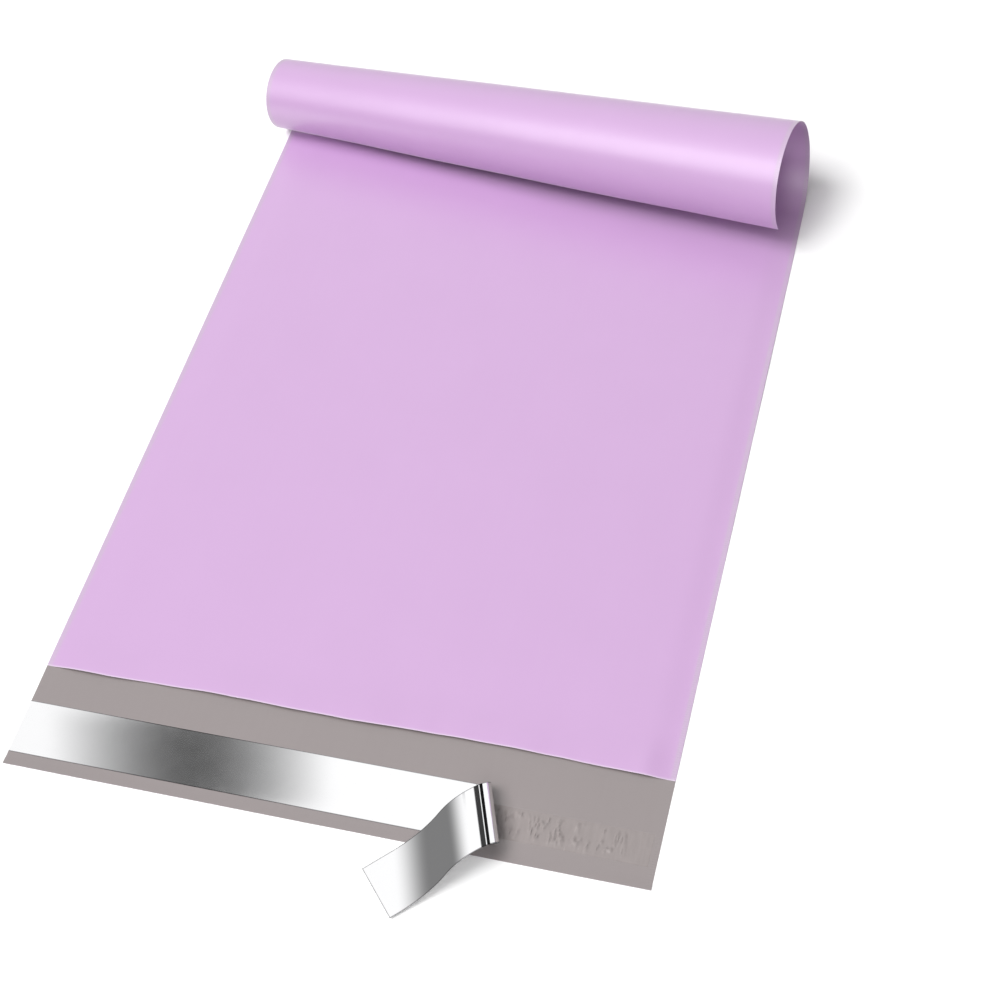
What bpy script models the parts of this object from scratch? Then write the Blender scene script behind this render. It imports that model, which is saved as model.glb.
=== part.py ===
"""Poly mailer bag lying on its back, its closed end curled up and its release liner half peeled.

The bag is one sheet of film. The back ply runs on past the mouth as the lip that folds over to
close the bag, and the front ply stops at the mouth. The two plies are welded down both sides and
joined by the fold at the far end. Across the lip lie a band of adhesive and the metallised liner
that covers it.

+X runs across the bag, +Y from the lip to the closed end and +Z up. The origin is on the
underside of the back ply, in the middle of the flat panel, and +Z = 0 is what the bag lies on.
"""
import math

import bmesh
import bpy
from mathutils import Quaternion, Vector

# Film of the bag, in metres
BAG_WIDTH = 0.254
POCKET_LENGTH = 0.4152
LIP_LENGTH = 0.0448
FILM = 0.00008
WELD_WIDTH = 0.0015
POCKET_GAP = 0.0005
PILLOW_RUN = 0.012
MOUTH_LIFT = 0.0007
MOUTH_LIFT_RUN = 0.018
MOUTH_WAVES = 3

# Curl of the closed end: part of a cone that opens towards +X
CURL_RADIUS_LEFT = 0.0167
CURL_WIDENING = 0.0081
CURL_SLANT = math.radians(6.7)
CURL_END_CLEARANCE = 0.00066

# Adhesive and liner on the lip
LINER_WIDTH = 0.0226
LINER_TO_LIP_END = 0.0055
LINER_THICKNESS = 0.00005
ADHESIVE_WIDTH = 0.013
ADHESIVE_TO_LIP_END = 0.0085
ADHESIVE_END_INSET = 0.003
ADHESIVE_THICKNESS = 0.00003
FILM_SEAT = 0.00002

# Peeled tail of the liner: a tight curl, a crown, a valley and a straight end
PEELED_LENGTH = 0.061
PEEL_SLANT = math.radians(21.8)
PEEL_RADIUS = 0.0063
PEEL_TURN = math.radians(168.7)
CROWN_RUN = 0.016
VALLEY_RUN = 0.0209
END_HEADING = math.radians(184.2)
TIP_CLEARANCE = 0.0004

# Facets
CURL_STEPS = 30
PANEL_COLUMNS = 8
PEEL_STEPS = 16
CROWN_STEPS = 8
VALLEY_STEPS = 7
SLOPE_HALVINGS = 40

# Places that follow from the dimensions, measured from the left corner of the lip's end
SHEET_LENGTH = LIP_LENGTH + POCKET_LENGTH
POCKET_END = SHEET_LENGTH - FILM
PANEL_THICKNESS = 2 * FILM + POCKET_GAP
ADHESIVE_BOTTOM = FILM + FILM_SEAT
LINER_BOTTOM = ADHESIVE_BOTTOM + ADHESIVE_THICKNESS + FILM_SEAT
LINER_FAR_EDGE = LINER_TO_LIP_END + LINER_WIDTH

# The cone of the curl touches the ground along one of its rulings, the take-off line
CONE_SINE = CURL_WIDENING * math.cos(CURL_SLANT) / BAG_WIDTH
CONE_ANGLE = math.asin(CONE_SINE)
APEX_TO_LEFT_EDGE = CURL_RADIUS_LEFT / CONE_SINE
END_HEIGHT = PANEL_THICKNESS + CURL_END_CLEARANCE
TURN_LEFT = math.tau - math.acos(1 - END_HEIGHT / CURL_RADIUS_LEFT)
TAKE_OFF_HEADING = -CURL_SLANT
APEX_X = -APEX_TO_LEFT_EDGE * math.cos(CURL_SLANT)
APEX_Y = SHEET_LENGTH + APEX_X * math.tan(TAKE_OFF_HEADING + TURN_LEFT * CONE_SINE)
CONE_BASE = Vector((math.cos(TAKE_OFF_HEADING), math.sin(TAKE_OFF_HEADING), 0))
CONE_AXIS = CONE_BASE * math.cos(CONE_ANGLE) + Vector((0, 0, math.sin(CONE_ANGLE)))


def take_off(u):
    """Distance from the lip's end to the line where the film leaves the ground."""
    return APEX_Y + (u - APEX_X) * math.tan(TAKE_OFF_HEADING)


ORIGIN = Vector((BAG_WIDTH / 2, take_off(BAG_WIDTH / 2) / 2, 0))

OUTSIDE, INSIDE = 0, 1
LILAC = (0.72, 0.47, 0.77, 1)
GREY = (0.38, 0.34, 0.335, 1)
SILVER = (0.86, 0.86, 0.87, 1)


def clear_scene():
    for item in list(bpy.data.objects):
        bpy.data.objects.remove(item, do_unlink=True)


def plain_material(name, colour, roughness, metallic):
    material = bpy.data.materials.new(name)
    material.use_nodes = True
    shader = material.node_tree.nodes["Principled BSDF"]
    shader.inputs["Base Color"].default_value = colour
    shader.inputs["Roughness"].default_value = roughness
    shader.inputs["Metallic"].default_value = metallic
    material.diffuse_color = colour
    return material


def make_object(name, bm, materials):
    """Turn the bmesh into an object, with its normals out and its gentle edges smooth."""
    bmesh.ops.recalc_face_normals(bm, faces=bm.faces)
    mesh = bpy.data.meshes.new(name)
    bm.to_mesh(mesh)
    bm.free()
    for material in materials:
        mesh.materials.append(material)
    mesh.shade_smooth()
    mesh.set_sharp_from_angle(angle=math.radians(40))
    item = bpy.data.objects.new(name, mesh)
    bpy.context.scene.collection.objects.link(item)
    return item


def ease(t):
    """Smooth step from 0 to 1."""
    t = min(max(t, 0), 1)
    return t * t * (3 - 2 * t)


def sheet_point(u, v, height):
    """Place in space of a point of the sheet.

    u and v are its places across and along the flat sheet, and height is its distance from the
    outer face of the back ply. Past the take-off line the sheet winds round the cone.
    """
    reach = math.hypot(u - APEX_X, v - APEX_Y)
    heading = math.atan2(v - APEX_Y, u - APEX_X)
    turn = (heading - TAKE_OFF_HEADING) / CONE_SINE
    if turn <= 0:
        return Vector((u, v, height)) - ORIGIN
    wound = CONE_BASE * reach + Vector((0, 0, height))
    wound.rotate(Quaternion(CONE_AXIS, turn))
    return Vector((APEX_X, APEX_Y, 0)) + wound - ORIGIN


def pocket_gap(u, v):
    """Air between the plies: nothing at the welds and the fold, a little more at the mouth."""
    from_weld = min(u, BAG_WIDTH - u) - WELD_WIDTH
    pillow = ease(from_weld / PILLOW_RUN) * ease((POCKET_END - v) / PILLOW_RUN)
    wave = math.sin(MOUTH_WAVES * math.pi * u / BAG_WIDTH) ** 2
    lift = MOUTH_LIFT * wave * ease(1 - (v - LIP_LENGTH) / MOUTH_LIFT_RUN)
    return (POCKET_GAP + lift) * pillow


def sheet_columns():
    """Places across the sheet: close together by the welds, even between them."""
    side = [0, WELD_WIDTH, WELD_WIDTH + PILLOW_RUN * 0.3, WELD_WIDTH + PILLOW_RUN * 0.6]
    panel_start = WELD_WIDTH + PILLOW_RUN
    step = (BAG_WIDTH - 2 * panel_start) / PANEL_COLUMNS
    panel = [panel_start + step * i for i in range(PANEL_COLUMNS + 1)]
    return side + panel + [BAG_WIDTH - u for u in reversed(side)]


def pocket_rows(u):
    """Places along the pocket at one column, from the mouth to the closed end."""
    flat = [LIP_LENGTH + MOUTH_LIFT_RUN * share for share in (0, 0.25, 0.5, 0.75, 1)]
    start = take_off(u)
    pillow_start = POCKET_END - PILLOW_RUN
    curl = [start + (pillow_start - start) * i / CURL_STEPS for i in range(CURL_STEPS + 1)]
    fold = [pillow_start + PILLOW_RUN * share for share in (0.4, 0.7, 1)]
    return flat + curl + fold + [SHEET_LENGTH]


def ply_vertices(bm, columns, rows):
    """Vertices of the four faces of the two plies, as four lists of rows.

    The inner faces have no vertices outside the welds, past the pocket's end or, but for the lip's
    own face, at the mouth's corners. Where the plies meet, they share one vertex.
    """
    back_out, back_in, front_in, front_out = [], [], [], []
    last = len(rows[0]) - 1
    for k in range(last + 1):
        for layer in (back_out, back_in, front_in, front_out):
            layer.append([])
        for u, places in zip(columns, rows):
            v = places[k]
            gap = pocket_gap(u, v)
            inner = k < last and WELD_WIDTH <= u <= BAG_WIDTH - WELD_WIDTH
            floor = bm.verts.new(sheet_point(u, v, FILM)) if inner or k == 0 else None
            ceiling = bm.verts.new(sheet_point(u, v, FILM + gap)) if inner and gap > 0 else floor
            back_out[k].append(bm.verts.new(sheet_point(u, v, 0)))
            back_in[k].append(floor)
            front_in[k].append(ceiling)
            front_out[k].append(bm.verts.new(sheet_point(u, v, 2 * FILM + gap)))
    return back_out, back_in, front_in, front_out


def add_cell(bm, layer, i, j, side, other=None):
    """Two triangles of one grid cell, split along the same diagonal in every layer.

    other is the facing layer of the pocket. A triangle that both would have is left out, because
    the floor and the ceiling of the pocket meet there.
    """
    places = ((i, j), (i, j + 1), (i + 1, j + 1), (i + 1, j))
    for picks in ((0, 1, 2), (0, 2, 3)):
        triangle = [layer[places[p][0]][places[p][1]] for p in picks]
        if other and triangle == [other[places[p][0]][places[p][1]] for p in picks]:
            continue
        bm.faces.new(triangle).material_index = side


def add_band(bm, near, far, side=OUTSIDE):
    """A row of four-sided faces between two rows of vertices."""
    for j in range(len(near) - 1):
        bm.faces.new((near[j], near[j + 1], far[j + 1], far[j])).material_index = side


def build_bag():
    """Outer faces, pocket faces, lip, cut edges and closed end of the one folded film."""
    bm = bmesh.new()
    columns = sheet_columns()
    back_out, back_in, front_in, front_out = ply_vertices(bm, columns, [pocket_rows(u) for u in columns])
    last_row = len(back_out) - 1
    last_column = len(columns) - 1
    for i in range(last_row):
        for j in range(last_column):
            add_cell(bm, back_out, i, j, OUTSIDE)
            add_cell(bm, front_out, i, j, OUTSIDE)
            if i < last_row - 1 and 0 < j < last_column - 1:
                add_cell(bm, back_in, i, j, INSIDE, front_in)
                add_cell(bm, front_in, i, j, INSIDE, back_in)
    lip_out = [bm.verts.new(sheet_point(u, 0, 0)) for u in columns]
    lip_in = [bm.verts.new(sheet_point(u, 0, FILM)) for u in columns]
    add_band(bm, lip_out, back_out[0])
    add_band(bm, lip_in, back_in[0], INSIDE)
    add_band(bm, lip_out, lip_in)
    add_band(bm, front_in[0], front_out[0])
    add_band(bm, back_out[-1], front_out[-1])
    for j in (0, last_column):
        bm.faces.new((lip_out[j], lip_in[j], back_in[0][j], back_out[0][j]))
        mouth_corner = (back_out[0][j], back_in[0][j], front_out[0][j], front_out[1][j], back_out[1][j])
        bm.faces.new(mouth_corner)
        for i in range(1, last_row):
            bm.faces.new((back_out[i][j], front_out[i][j], front_out[i + 1][j], back_out[i + 1][j]))
    outside = plain_material("bag_film_outside", LILAC, 0.35, 0)
    inside = plain_material("bag_film_inside", GREY, 0.5, 0)
    return make_object("bag_body", bm, (outside, inside))


def flat_strip(length_range, width_range, height_range):
    """A flat box between the given limits, as a bmesh."""
    bm = bmesh.new()
    bmesh.ops.create_cube(bm, size=1)
    for vertex in bm.verts:
        for axis, (low, high) in enumerate((length_range, width_range, height_range)):
            vertex.co[axis] = high if vertex.co[axis] > 0 else low
    return bm


def build_adhesive():
    """Band of adhesive across the lip, narrower than the liner that covers it."""
    bm = flat_strip(
        (ADHESIVE_END_INSET, BAG_WIDTH - ADHESIVE_END_INSET),
        (ADHESIVE_TO_LIP_END, ADHESIVE_TO_LIP_END + ADHESIVE_WIDTH),
        (ADHESIVE_BOTTOM, ADHESIVE_BOTTOM + ADHESIVE_THICKNESS),
    )
    bmesh.ops.translate(bm, verts=bm.verts, vec=-ORIGIN)
    return make_object("adhesive_strip", bm, (plain_material("hot_melt_adhesive", GREY, 0.2, 0),))


def tail_profile(steepest):
    """Stations along the peeled tail: distance along it, forward, up and heading.

    The tail turns up and back round the curl, steepens over the crown, levels out in the valley
    and runs straight to its end. Each stretch turns evenly.
    """
    end_run = 2 * PEELED_LENGTH
    stretches = (
        (PEEL_RADIUS * PEEL_TURN, 0, PEEL_TURN, PEEL_STEPS),
        (CROWN_RUN, PEEL_TURN, steepest, CROWN_STEPS),
        (VALLEY_RUN, steepest, END_HEADING, VALLEY_STEPS),
        (end_run, END_HEADING, END_HEADING, 1),
    )
    distance = forward = up = 0
    stations = [(distance, forward, up, 0)]
    for run, start, end, steps in stretches:
        step = run / steps
        turn = (end - start) / steps
        chord = step * (math.sin(turn / 2) / (turn / 2) if turn else 1)
        for i in range(steps):
            middle = start + turn * (i + 0.5)
            distance += step
            forward += chord * math.cos(middle)
            up += chord * math.sin(middle)
            stations.append((distance, forward, up, start + turn * (i + 1)))
    return stations


def tail_place(stations, distance):
    """Forward, up and heading at one distance along the tail."""
    for near, far in zip(stations, stations[1:]):
        if distance <= far[0] + 1e-9:
            share = (distance - near[0]) / (far[0] - near[0])
            return tuple(a + (b - a) * share for a, b in zip(near[1:], far[1:]))
    return stations[-1][1:]


# The liner bends about lines that lie slanted across it, so the tail heads out over the lip's end
PEEL_START = BAG_WIDTH - PEELED_LENGTH
BEND_LINE = Vector((-math.sin(PEEL_SLANT), math.cos(PEEL_SLANT), 0))
BEND_FORWARD = Vector((math.cos(PEEL_SLANT), math.sin(PEEL_SLANT), 0))


def bend_distance(x, y):
    return Vector((x - PEEL_START, y, 0)).dot(BEND_FORWARD)


def tip_height(steepest):
    """Height of the tail's lower end corner over the ground, for one steepest heading."""
    stations = tail_profile(steepest)
    corner = tail_place(stations, bend_distance(BAG_WIDTH, LINER_TO_LIP_END))
    far_corner = tail_place(stations, bend_distance(BAG_WIDTH, LINER_FAR_EDGE))
    return min(corner[1], far_corner[1]) + LINER_BOTTOM - LINER_THICKNESS


def steepest_heading():
    """Heading down the tail that brings its end just clear of the ground, by halving."""
    low, high = PEEL_TURN, math.radians(268)
    for _ in range(SLOPE_HALVINGS):
        middle = (low + high) / 2
        if tip_height(middle) > TIP_CLEARANCE:
            low = middle
        else:
            high = middle
    return low


def bent_point(stations, point):
    """Place in space of a point of the flat liner."""
    distance = bend_distance(point.x, point.y)
    if distance <= 0:
        return point - ORIGIN
    forward, up, heading = tail_place(stations, distance)
    height = point.z - LINER_BOTTOM
    along = Vector((point.x - PEEL_START, point.y, 0)).dot(BEND_LINE)
    place = Vector((PEEL_START, 0, LINER_BOTTOM + up)) + BEND_LINE * along + BEND_FORWARD * forward
    normal = Vector((0, 0, math.cos(heading))) - BEND_FORWARD * math.sin(heading)
    return place + normal * height - ORIGIN


def build_liner():
    """Cut the flat liner across at each bend, then bend it."""
    stations = tail_profile(steepest_heading())
    bm = flat_strip(
        (0, BAG_WIDTH),
        (LINER_TO_LIP_END, LINER_FAR_EDGE),
        (LINER_BOTTOM, LINER_BOTTOM + LINER_THICKNESS),
    )
    for distance, _, _, _ in stations[:-1]:
        everything = bm.verts[:] + bm.edges[:] + bm.faces[:]
        place = Vector((PEEL_START, 0, 0)) + BEND_FORWARD * distance
        bmesh.ops.bisect_plane(bm, geom=everything, dist=1e-7, plane_co=place, plane_no=BEND_FORWARD)
    for vertex in bm.verts:
        vertex.co = bent_point(stations, vertex.co)
    return make_object("release_liner", bm, (plain_material("metallised_film", SILVER, 0.12, 1),))


def main():
    clear_scene()
    build_bag()
    build_adhesive()
    build_liner()


main()
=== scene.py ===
"""Poly mailer bag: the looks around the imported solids.

The bag is one co-extruded film, lilac outside and grey inside. It is laid out flat in mesh code,
with its real thickness, and a Geometry Nodes tree winds its closed end round a cone. The release
liner is a flat strip that a second tree bends along a profile, and a third tree raises the pulled
ridges of the bare adhesive. All lengths are in metres.
"""
import math

import bmesh
import bpy
import numpy as np
from bpy.props import FloatProperty, FloatVectorProperty, IntProperty, PointerProperty
from mathutils import Matrix, Vector, noise


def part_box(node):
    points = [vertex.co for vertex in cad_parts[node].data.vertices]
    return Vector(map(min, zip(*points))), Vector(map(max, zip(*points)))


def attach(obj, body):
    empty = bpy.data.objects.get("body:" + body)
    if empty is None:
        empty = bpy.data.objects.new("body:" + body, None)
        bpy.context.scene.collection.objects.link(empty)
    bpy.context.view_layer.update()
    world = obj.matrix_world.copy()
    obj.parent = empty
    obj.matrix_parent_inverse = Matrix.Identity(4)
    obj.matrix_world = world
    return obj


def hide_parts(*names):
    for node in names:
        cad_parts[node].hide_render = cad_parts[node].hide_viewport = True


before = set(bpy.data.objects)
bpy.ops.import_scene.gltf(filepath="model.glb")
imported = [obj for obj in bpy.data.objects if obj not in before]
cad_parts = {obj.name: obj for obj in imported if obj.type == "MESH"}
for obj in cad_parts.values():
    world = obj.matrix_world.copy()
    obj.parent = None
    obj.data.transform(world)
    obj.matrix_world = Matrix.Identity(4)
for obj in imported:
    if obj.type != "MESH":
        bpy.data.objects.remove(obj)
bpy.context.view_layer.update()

bl_info = {
    "name": "Poly Mailer Bag",
    "version": (1, 0, 0),
    "blender": (4, 5, 0),
    "location": "3D View > Sidebar > Mailer",
    "description": "Builds a poly mailer bag with a curled end and a half-peeled release liner",
    "category": "Object",
}

BAG_LOW, BAG_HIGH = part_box("bag_body")
GLUE_LOW, GLUE_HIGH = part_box("adhesive_strip")
LINER_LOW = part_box("release_liner")[0]

# Left corner of the lip's end: the place from which the flat film is measured
SHEET_CORNER = Vector((LINER_LOW.x, BAG_LOW.y, 0))
RIGHT_EDGE = -LINER_LOW.x
BAG_WIDTH = 2 * RIGHT_EDGE
MM = 0.001
# Two places closer together than this count as one
SAME_PLACE = 1e-9
# Faces that meet at a larger angle than this are shaded apart
SHARP_ANGLE = math.radians(40)
# Air between the adhesive and the liner that lies on it
SEAT_GAP = 0.00002
# Material slots of the film's two faces
OUTER_FACE, INNER_FACE = 0, 1
WHITE = (1, 1, 1, 1)


def linear_colour(hex_text):
    """Linear RGB of an sRGB colour written as six hex digits."""
    channels = [int(hex_text[i:i + 2], 16) / 255 for i in (0, 2, 4)]
    return [c / 12.92 if c <= 0.04045 else ((c + 0.055) / 1.055) ** 2.4 for c in channels]


def number_property(name, description, default, **settings):
    return FloatProperty(name=name, description=description, default=default, **settings)


def size_property(name, description, default):
    return number_property(name, description, default, unit="LENGTH", precision=5)


def angle_property(name, description, degrees):
    return number_property(name, description, math.radians(degrees), subtype="ANGLE")


def colour_property(name, description, hex_text):
    colour = linear_colour(hex_text)
    return FloatVectorProperty(
        name=name, description=description, default=colour, subtype="COLOR", min=0, max=1
    )


class FilmSizes(bpy.types.PropertyGroup):
    """Sizes of the bag's film and of the curl at its closed end."""

    lip_length: size_property("Lip length", "From the lip's end to the mouth", 0.0448)
    pocket_length: size_property("Pocket length", "From the mouth to the closed end", 0.4152)
    thickness: size_property("Film thickness", "Thickness of one ply", 0.00008)
    weld_width: size_property("Weld width", "Width of the side welds", 0.0015)
    pocket_gap: size_property("Pocket gap", "Air between the two plies", 0.0005)
    pillow_run: size_property("Pillow run", "Distance over which the plies part beside a weld", 0.012)
    mouth_lift: size_property("Mouth lift", "How far the mouth's edge lifts at its waves", 0.0008)
    mouth_run: size_property("Mouth run", "How far into the pocket the mouth's lift reaches", 0.018)
    mouth_stray: size_property("Mouth stray", "How far the mouth's cut strays from straight", 0.00042)
    film_wave: size_property("Film wave", "Height of the slow waves all over the film", 0.00025)
    curl_radius: size_property("Curl radius", "Radius of the curl at its left end", 0.0167)
    curl_widening: size_property("Curl widening", "Growth of the radius across the bag", 0.0081)
    end_clearance: size_property("End clearance", "Room between the rolled end and the panel", 0.00066)
    curl_slant: angle_property("Curl slant", "Turn of the take-off line from square", 6.7)


class LinerSizes(bpy.types.PropertyGroup):
    """Sizes of the release liner and its peeled tail."""

    width: size_property("Liner width", "Width of the liner", 0.0226)
    to_lip_end: size_property("Edge distance", "From the lip's end to the liner", 0.0055)
    thickness: size_property("Liner thickness", "Thickness of the liner", 0.00005)
    peeled_length: size_property("Peeled length", "Length of the liner that is peeled", 0.061)
    peel_radius: size_property("Peel radius", "Radius of the tight curl at the peel", 0.0063)
    crown_run: size_property("Crown run", "Length of the tail over its crown", 0.016)
    valley_run: size_property("Valley run", "Length of the tail through its valley", 0.0209)
    tip_clearance: size_property("Tip clearance", "Height of the tail's end over the floor", 0.0004)
    peel_slant: angle_property("Peel slant", "Turn of the bend lines from square", 21.8)
    peel_turn: angle_property("Peel turn", "Turn of the tight curl", 168.7)
    end_heading: angle_property("End heading", "Heading of the tail's straight end", 184.2)


class GlueSizes(bpy.types.PropertyGroup):
    """Relief of the bare adhesive."""

    ridge_height: size_property("Ridge height", "Height of the pulled ridges", 0.0005)
    ridge_spacing: size_property("Ridge spacing", "Distance between pulled ridges", 0.0042)
    ridge_length: size_property("Ridge length", "Length of a pulled ridge", 0.02)
    seed: IntProperty(name="Seed", description="Picks another set of ridges", default=4)


class FinishColours(bpy.types.PropertyGroup):
    """Colours of the films, the adhesive and the floor."""

    outside: colour_property("Outside", "Outer face of the bag's film", "C39CCA")
    # Painted highlight: a paler colour laid along the cut edges of the outer face
    outside_edge_highlight: colour_property("Cut edge", "Stretched film along the cut edges", "E2D4E5")
    weld: colour_property("Weld", "Pressed film of the side welds", "BAA9BD")
    inside: colour_property("Inside", "Inner face of the bag's film", "807777")
    adhesive: colour_property("Adhesive", "Clear adhesive over the grey film", "948C8B")
    liner: colour_property("Liner", "Metallised face of the liner", "F4F4F5")
    floor: colour_property("Floor", "Paper sweep under the bag", "F6F6F6")


class StudioSettings(bpy.types.PropertyGroup):
    """Light, floor and camera."""

    floor_size: size_property("Floor size", "Side of the square floor", 1.3)
    floor_drop: size_property("Floor drop", "Gap between the bag and the floor", 0.00005)
    key_power: number_property("Key power", "Power of the overhead softbox", 147.0, unit="POWER")
    front_power: number_property("Front power", "Power of the front softbox", 82.0, unit="POWER")
    ambient: number_property("Ambient", "Strength of the even light of the room", 0.12)
    lens: number_property("Lens", "Focal length in millimetres", 65.86)


def direction_to(azimuth, elevation):
    """Unit vector of a direction in degrees: azimuth from +Y towards +X, elevation up."""
    a, e = math.radians(azimuth), math.radians(elevation)
    return Vector((math.sin(a) * math.cos(e), math.cos(a) * math.cos(e), math.sin(e)))


def peel_frame(liner, height):
    """Where the liner leaves the adhesive at the lip's end, and the direction of the peel."""
    start = Vector((RIGHT_EDGE - liner.peeled_length, BAG_LOW.y, height))
    return start, Vector((math.cos(liner.peel_slant), math.sin(liner.peel_slant), 0))


def add_node(tree, kind, inputs=None, **settings):
    """Add a node, set its properties, and link or set its inputs by name or number."""
    node = tree.nodes.new(kind)
    for name, value in settings.items():
        setattr(node, name, value)
    for name, value in (inputs or {}).items():
        socket = node.inputs[name]
        if isinstance(value, bpy.types.NodeSocket):
            tree.links.new(value, socket)
        else:
            socket.default_value = value
    return node


def math_node(tree, operation, *values, **settings):
    """Result of a Math node."""
    inputs = dict(enumerate(values))
    return add_node(tree, "ShaderNodeMath", inputs, operation=operation, **settings).outputs[0]


def vector_node(tree, operation, *values):
    """Result of a Vector Math node: a number from LENGTH and DOT_PRODUCT, a vector from others."""
    node = add_node(tree, "ShaderNodeVectorMath", dict(enumerate(values)), operation=operation)
    return node.outputs["Value" if operation in ("LENGTH", "DOT_PRODUCT") else "Vector"]


def scaled(tree, vector, factor):
    """A vector or a colour times a number."""
    inputs = {0: vector, 3: factor}
    return add_node(tree, "ShaderNodeVectorMath", inputs, operation="SCALE").outputs[0]


def parts_of(tree, vector):
    """The X, Y and Z of a vector."""
    return add_node(tree, "ShaderNodeSeparateXYZ", {0: vector}).outputs


def vector_of(tree, parts):
    """A vector from its parts by number, with nothing for those left out."""
    return add_node(tree, "ShaderNodeCombineXYZ", parts).outputs[0]


def remap(tree, value, start, end, kind="LINEAR"):
    """Turn one range of a value into another."""
    limits = zip(("From Min", "From Max", "To Min", "To Max"), (*start, *end))
    inputs = {"Value": value, **dict(limits)}
    return add_node(tree, "ShaderNodeMapRange", inputs, interpolation_type=kind).outputs[0]


def fade(tree, value, low, high):
    """A smooth step from 0 at the low value to 1 at the high one."""
    return remap(tree, value, (low, high), (0.0, 1.0), "SMOOTHSTEP")


def new_tree(name, inputs):
    """A Geometry Nodes tree with the named inputs between its geometry's input and output."""
    tree = bpy.data.node_groups.new(name, "GeometryNodeTree")
    tree.interface.new_socket("Geometry", in_out="INPUT", socket_type="NodeSocketGeometry")
    for label, kind in inputs.items():
        tree.interface.new_socket(label, in_out="INPUT", socket_type="NodeSocket" + kind)
    tree.interface.new_socket("Geometry", in_out="OUTPUT", socket_type="NodeSocketGeometry")
    place = tree.nodes.new("GeometryNodeInputPosition").outputs[0]
    return tree, tree.nodes.new("NodeGroupInput").outputs, place


def placed(tree, given, name, vector):
    """The tree's geometry with its Position or its Offset set."""
    inputs = {"Geometry": given["Geometry"], name: vector}
    return add_node(tree, "GeometryNodeSetPosition", inputs).outputs[0]


def end_tree(tree, geometry, material, **chosen):
    """Close a tree with Realize Instances and Set Material, on all or on the chosen faces."""
    real = add_node(tree, "GeometryNodeRealizeInstances", {"Geometry": geometry}).outputs[0]
    inputs = {"Geometry": real, "Material": material, **chosen}
    finish = add_node(tree, "GeometryNodeSetMaterial", inputs).outputs[0]
    add_node(tree, "NodeGroupOutput", {0: finish})


def mesh_attribute(tree, name, kind):
    inputs = {"Name": name}
    return add_node(tree, "GeometryNodeInputNamedAttribute", inputs, data_type=kind).outputs[0]


def shape_with(item, tree, values):
    """Run a tree on an object with these inputs and keep the result as its plain mesh."""
    modifier = item.modifiers.new(tree.name, "NODES")
    modifier.node_group = tree
    for socket in tree.interface.items_tree:
        if socket.in_out == "INPUT" and socket.name in values:
            modifier[socket.identifier] = values[socket.name]
    depsgraph = bpy.context.evaluated_depsgraph_get()
    mesh = bpy.data.meshes.new_from_object(item.evaluated_get(depsgraph))
    item.modifiers.remove(modifier)
    item.data = mesh


def write_uv(bm, name):
    """Keep the flat place of each corner as a UV map, in metres."""
    uv_layer = bm.loops.layers.uv.new(name)
    for face in bm.faces:
        for loop in face.loops:
            loop[uv_layer].uv = loop.vert.co.xy


def mesh_from(name, bm):
    """Turn a bmesh into a mesh."""
    mesh = bpy.data.meshes.new(name)
    bm.to_mesh(mesh)
    bm.free()
    return mesh


def new_object(name, data):
    item = bpy.data.objects.new(name, data)
    bpy.context.scene.collection.objects.link(item)
    return item


def finish_piece(item, node):
    """Let a finished piece ride with the bag and stand for its CAD node."""
    item.data.shade_smooth()
    item.data.set_sharp_from_angle(angle=SHARP_ANGLE)
    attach(item, "root")
    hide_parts(node)


def clamp(value):
    return min(max(value, 0), 1)


def ease(t):
    t = clamp(t)
    return t * t * (3 - 2 * t)


class Cone:
    """The cone that the closed end is wound on, worked out from the film's sizes."""

    def __init__(self, film):
        self.sine = film.curl_widening * math.cos(film.curl_slant) / BAG_WIDTH
        self.angle = math.asin(self.sine)
        length = film.lip_length + film.pocket_length
        rise = 2 * film.thickness + film.pocket_gap + film.end_clearance
        turn_left = math.tau - math.acos(1 - rise / film.curl_radius)
        reach = film.curl_radius / self.sine
        x = -reach * math.cos(film.curl_slant)
        y = length + x * math.tan(turn_left * self.sine - film.curl_slant)
        self.slant = film.curl_slant
        self.apex = Vector((x, y, 0))
        self.base = Vector((math.cos(self.slant), -math.sin(self.slant), 0))
        self.axis = self.base * math.cos(self.angle) + Vector((0, 0, self.sine))

    def take_off(self, u):
        """Place along the film at which this column leaves the floor."""
        return self.apex.y - (u - self.apex.x) * math.tan(self.slant)


# Columns over a weld and beside it, and rows over the mouth's zone and up to the fold, as shares
WELD_STEPS = (0, 0.5, 1)
PILLOW_STEPS = (0.07, 0.16, 0.3, 0.45, 0.6, 0.8)
MOUTH_STEPS = (0, 0.012, 0.025, 0.05, 0.09, 0.15, 0.25, 0.375, 0.5, 0.65, 0.8, 1)
FOLD_STEPS = (0.2, 0.4, 0.55, 0.7, 0.84, 0.93, 0.97, 1)
COLUMN_SPACING = 2.6 * MM
# Length of the pocket over which its rows follow the mouth's cut
MOUTH_ZONE = 20 * MM
FLAT_ROWS, CURL_ROWS = 64, 72
# Millimetres from the lip's end, and back from the mouth, at which the lip has a row
LIP_ROWS = (0, 0.4, 1.2, 2.6, 4, 5.2, 15, 30)
LIP_ROWS_AT_MOUTH = (10, 7, 4, 2.6)
# Slow waves of the film: waves per metre across and along, layer of the noise, share
FILM_WAVES = ((14, 9, 3.7, 1), (31, 22, 9.1, 0.5))
# Where the film's waves set in beyond the liner, and over what distance
WAVES_FROM, WAVES_RUN = 0.034, 0.02
# Waves of the lip's free end: height, reach into the lip, and waves per metre
LIP_WAVE_HEIGHT, LIP_WAVE_RUN, LIP_WAVE_RATE = 0.00035, 4.5 * MM, 38
# Width of the painted highlight along a cut edge, and of the soft edge of a weld
EDGE_HIGHLIGHT_WIDTH, WELD_SOFTNESS = 0.7 * MM, MM
# Stands for the distance of a vertex that is nowhere near a cut edge
NO_EDGE = 1


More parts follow.
